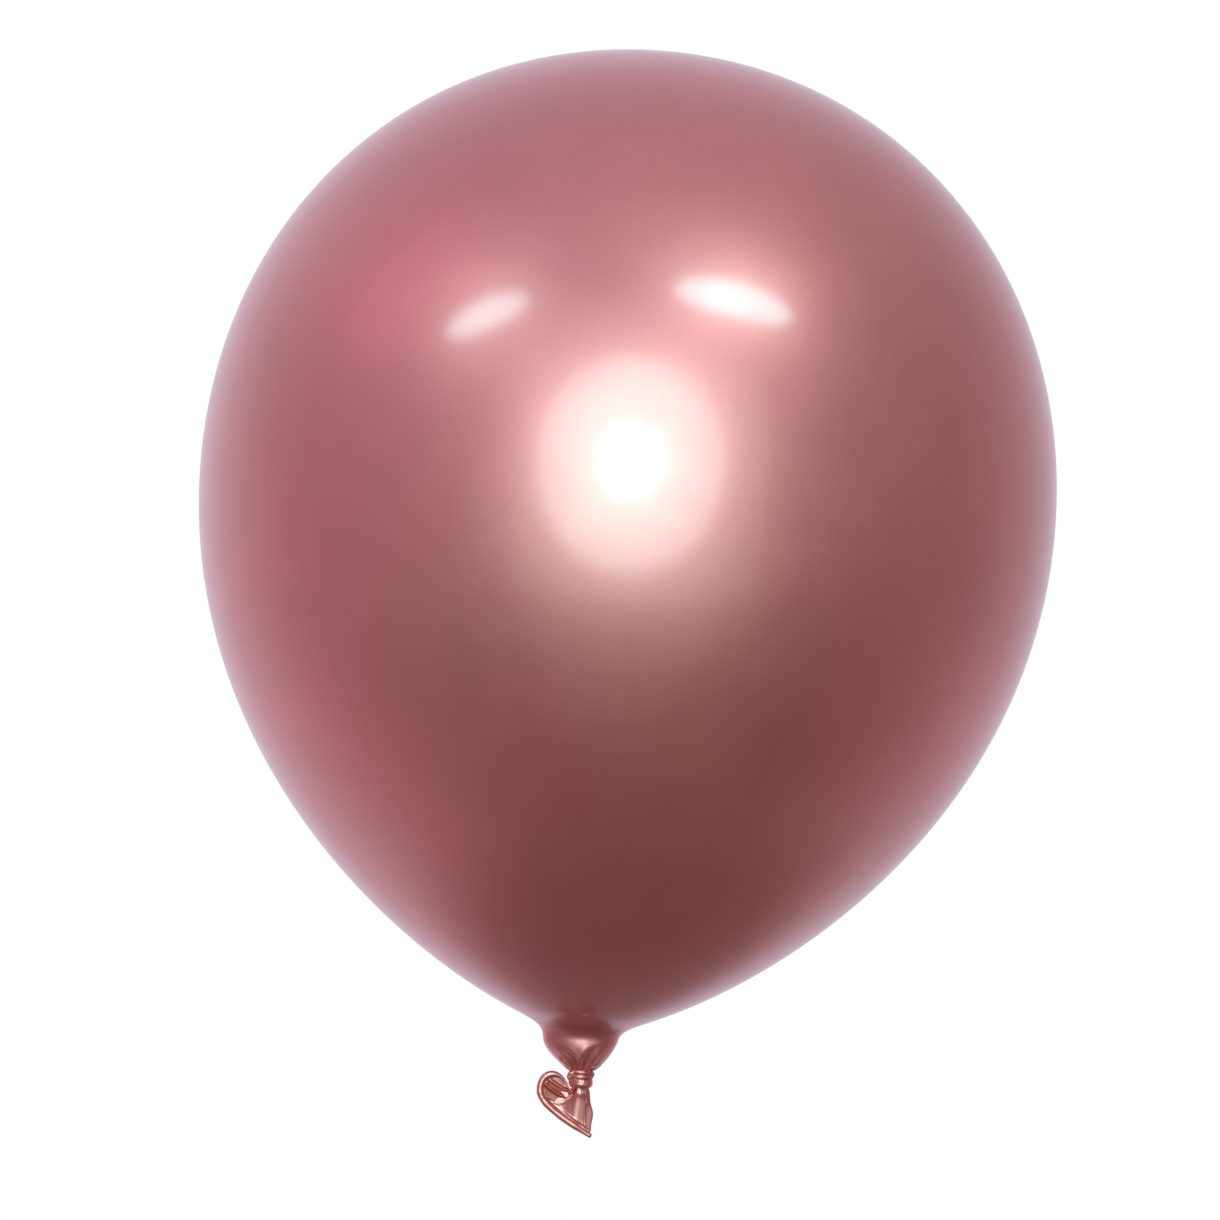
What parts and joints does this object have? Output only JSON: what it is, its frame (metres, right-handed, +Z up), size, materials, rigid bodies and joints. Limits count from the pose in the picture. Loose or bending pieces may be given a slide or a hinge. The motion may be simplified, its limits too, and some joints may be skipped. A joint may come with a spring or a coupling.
{
  "type": "latex balloon",
  "caption": "Inflated teardrop-shaped chrome latex balloon with a pleated neck, a hand-tied overhand knot and a flattened nozzle with a rolled lip.",
  "frame": {"origin": "the pinch where the balloon's neck goes into its knot, where a ribbon is tied", "axes": "+Z up the balloon's axis to the crown; the flattened nozzle lies in the XZ plane and fans out towards -X; -Y is the front"},
  "size_m": [0.2999, 0.3, 0.3812],
  "materials": {
    "stretched_latex": "satin metallic rose gold, stretched",
    "pleated_latex": "metallic rose gold, pleated",
    "knotted_latex": "glossy metallic copper rose, unstretched",
    "nozzle_latex": "glossy metallic copper rose, creased"
  },
  "bodies": {
    "knot": {"knot_core": "knotted_latex", "knot_upper_turn": "knotted_latex", "knot_lower_turn": "knotted_latex", "knot_crossing": "knotted_latex", "knot_tuck": "knotted_latex"},
    "neck": {"gathered_neck": "pleated_latex"},
    "bubble": {"envelope_skin": "stretched_latex", "neck_collar": "pleated_latex"},
    "throat": {"tail_throat": "pleated_latex"},
    "tail": {"tail_front_wall": "nozzle_latex", "tail_back_wall": "nozzle_latex", "rolled_bead": "nozzle_latex"}
  },
  "joints": [
    {"name": "neck_twist", "type": "hinge", "parent": "knot", "child": "neck", "pos_m": [0, 0, 0.001], "axis": [0, 0, 1], "range_deg": [-90, 90], "stiffness_Nm_per_rad": 0.004},
    {"name": "neck_lean", "type": "hinge", "parent": "neck", "child": "bubble", "pos_m": [0, 0, 0.001], "axis": [0, 1, 0], "range_deg": [-25, 25], "stiffness_Nm_per_rad": 0.08},
    {"name": "tail_twist", "type": "hinge", "parent": "knot", "child": "throat", "pos_m": [0, 0, -0.0079], "axis": [0, 0, 1], "range_deg": [-60, 60], "stiffness_Nm_per_rad": 0.0004},
    {"name": "tail_flap", "type": "hinge", "parent": "throat", "child": "tail", "pos_m": [0, 0, -0.0079], "axis": [1, 0, 0], "range_deg": [-45, 45], "stiffness_Nm_per_rad": 0.0004}
  ]
}
